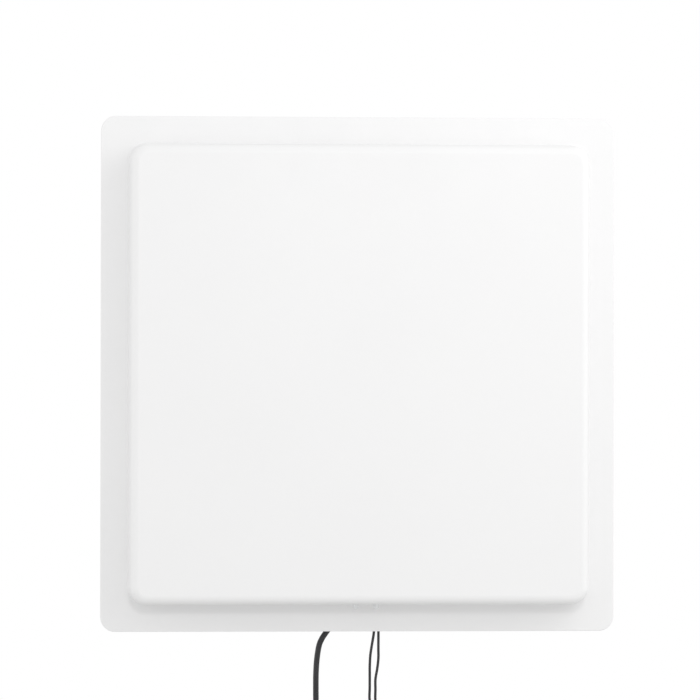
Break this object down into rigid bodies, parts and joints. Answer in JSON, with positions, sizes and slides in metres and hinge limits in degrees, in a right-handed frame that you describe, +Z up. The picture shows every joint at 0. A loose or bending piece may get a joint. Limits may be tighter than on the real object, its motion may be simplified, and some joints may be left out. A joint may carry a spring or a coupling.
{
  "type": "security gate reader panel",
  "caption": "Flat square reader panel of a shop security gate with a raised dome front, hanging cords and a pan and tilt wall bracket.",
  "frame": {"origin": "middle of the wall plate's rear face, where it meets the wall or post", "axes": "+Z up, the panel faces -Y, +X to the right as seen from the front; the wall lies at y = 0"},
  "size_m": [0.445, 0.1865, 0.6595],
  "materials": {
    "white_abs": "satin moulded ABS, fine even grain",
    "grey_abs": "moulded ABS",
    "nylon_white": "turned nylon",
    "black_plastic": "moulded nylon",
    "terminal_blue": "moulded",
    "lens_clear": "clear diffusing light pipe",
    "cord_pvc": "semi-gloss PVC sheath",
    "seal_rubber": "matte rubber",
    "galvanised_steel": "light grey powder coat on steel",
    "zinc_fasteners": "zinc plated",
    "aluminium_plate": "mill finish sheet",
    "brass": "plain",
    "circuit_board": "solder resist"
  },
  "bodies": {
    "wall": {"wall_plate": "galvanised_steel", "pan_bolt": "zinc_fasteners", "pan_nut": "zinc_fasteners", "pan_washers": "brass"},
    "swivel": {"yoke": "galvanised_steel", "tilt_pivot_bolts": "zinc_fasteners", "tilt_pivot_nuts": "zinc_fasteners", "friction_washers": "brass", "data_lead": "cord_pvc", "data_coil_pack": "cord_pvc", "data_tail": "cord_pvc", "data_tie": "black_plastic", "data_plug": "black_plastic", "power_lead_a": "cord_pvc", "power_lead_b": "cord_pvc", "power_coil_pack": "cord_pvc", "power_tail_a": "cord_pvc", "power_tail_b": "cord_pvc", "power_tie": "black_plastic", "power_plug": "black_plastic"},
    "panel": {"panel_bracket": "galvanised_steel", "bracket_studs": "zinc_fasteners", "lock_bolts": "zinc_fasteners", "m6_nuts": "zinc_fasteners", "back_plate": "aluminium_plate", "cover_gasket": "seal_rubber", "radome_cover": "white_abs", "cover_screws": "zinc_fasteners", "ground_plane": "aluminium_plate", "ground_pillars": "zinc_fasteners", "patch_top_left": "brass", "patch_top_right": "brass", "patch_bottom_left": "brass", "patch_bottom_right": "brass", "patch_spacers": "nylon_white", "feed_pins": "brass", "feed_board": "circuit_board", "reader_board": "circuit_board", "board_standoffs": "brass", "board_screws": "zinc_fasteners", "rf_shield": "aluminium_plate", "board_components": "black_plastic", "terminal_block": "terminal_blue", "beeper": "black_plastic", "rf_jumper": "cord_pvc", "led_bracket": "aluminium_plate", "led_board": "circuit_board", "status_lens_power": "lens_clear", "status_lens_read": "lens_clear", "cable_box": "grey_abs", "cable_box_gasket": "seal_rubber", "cable_box_screws": "zinc_fasteners", "data_gland": "black_plastic", "power_gland": "black_plastic", "gland_nuts": "black_plastic", "data_boot": "seal_rubber", "power_boot": "seal_rubber", "vent_plug": "black_plastic", "earth_screw": "brass"}
  },
  "joints": [
    {"name": "pan", "type": "hinge", "parent": "wall", "child": "swivel", "pos_m": [0, -0.04, 0], "axis": [0, 0, 1], "range_deg": [-20, 20]},
    {"name": "tilt", "type": "hinge", "parent": "swivel", "child": "panel", "pos_m": [0, -0.09, 0], "axis": [1, 0, 0], "range_deg": [-15, 15], "deforming": ["data_lead", "power_lead_a", "power_lead_b"]}
  ]
}
